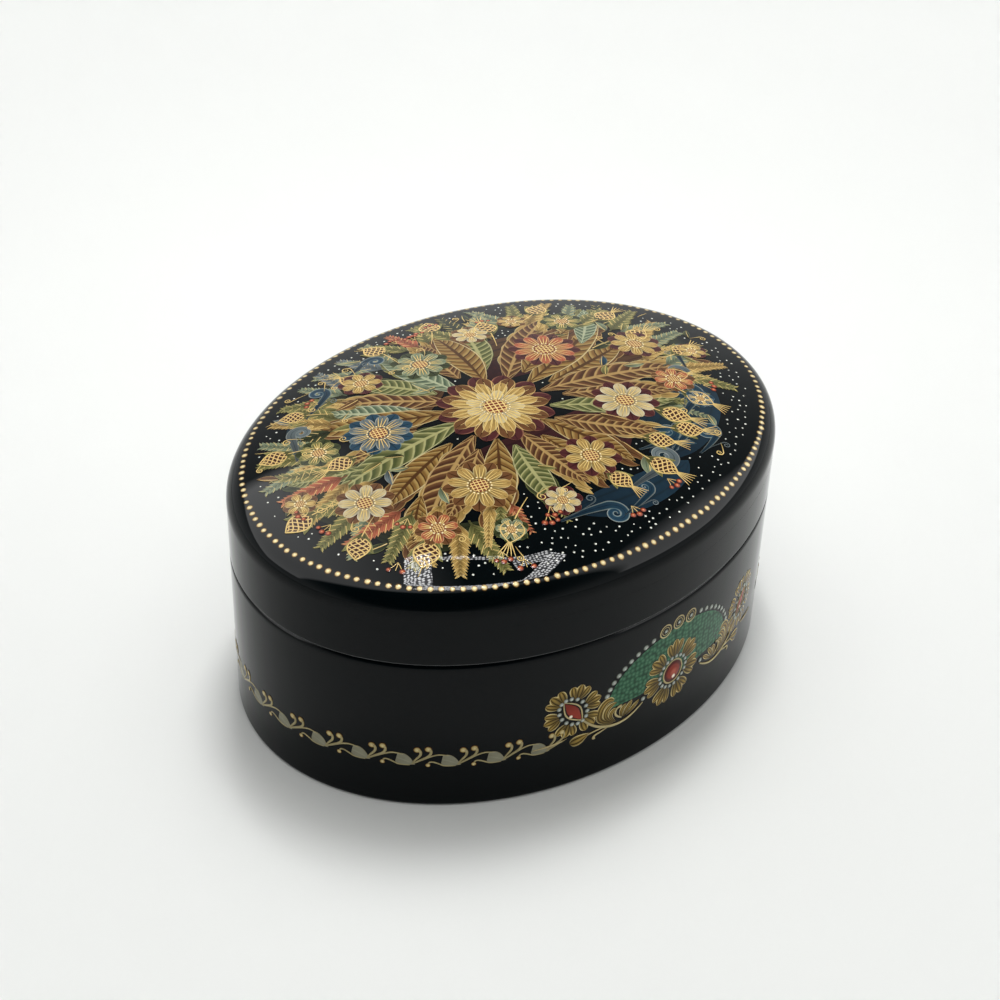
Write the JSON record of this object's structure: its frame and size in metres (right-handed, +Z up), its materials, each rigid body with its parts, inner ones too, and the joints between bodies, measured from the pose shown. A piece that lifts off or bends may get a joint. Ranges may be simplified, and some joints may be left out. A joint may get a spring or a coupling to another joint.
{
  "type": "lacquer box",
  "caption": "Oval lacquered papier-mache box with a domed lift-off lid that locates over an inner collar.",
  "frame": {"origin": "middle of the underside of the closed box, on the surface it stands on", "axes": "+Z up, +X along the oval's length, -Y towards the long side with the painted ornament"},
  "size_m": [0.1, 0.0772, 0.046],
  "materials": {
    "black_lacquer": "gloss",
    "lid_lacquer": "gloss",
    "base_lacquer": "gloss",
    "red_lacquer": "gloss",
    "gold_paint": "gloss",
    "silver_paint": "gloss",
    "oil_colours": "gloss"
  },
  "bodies": {
    "base": {"body_wall": "black_lacquer", "base_plate": "base_lacquer", "inner_collar": "red_lacquer"},
    "lid": {"lid_skirt": "black_lacquer", "lid_top": "lid_lacquer"}
  },
  "joints": [
    {"name": "lid_lift", "type": "slide", "parent": "base", "child": "lid", "axis": [0, 0, 1], "range_m": [0, 0.05]}
  ]
}
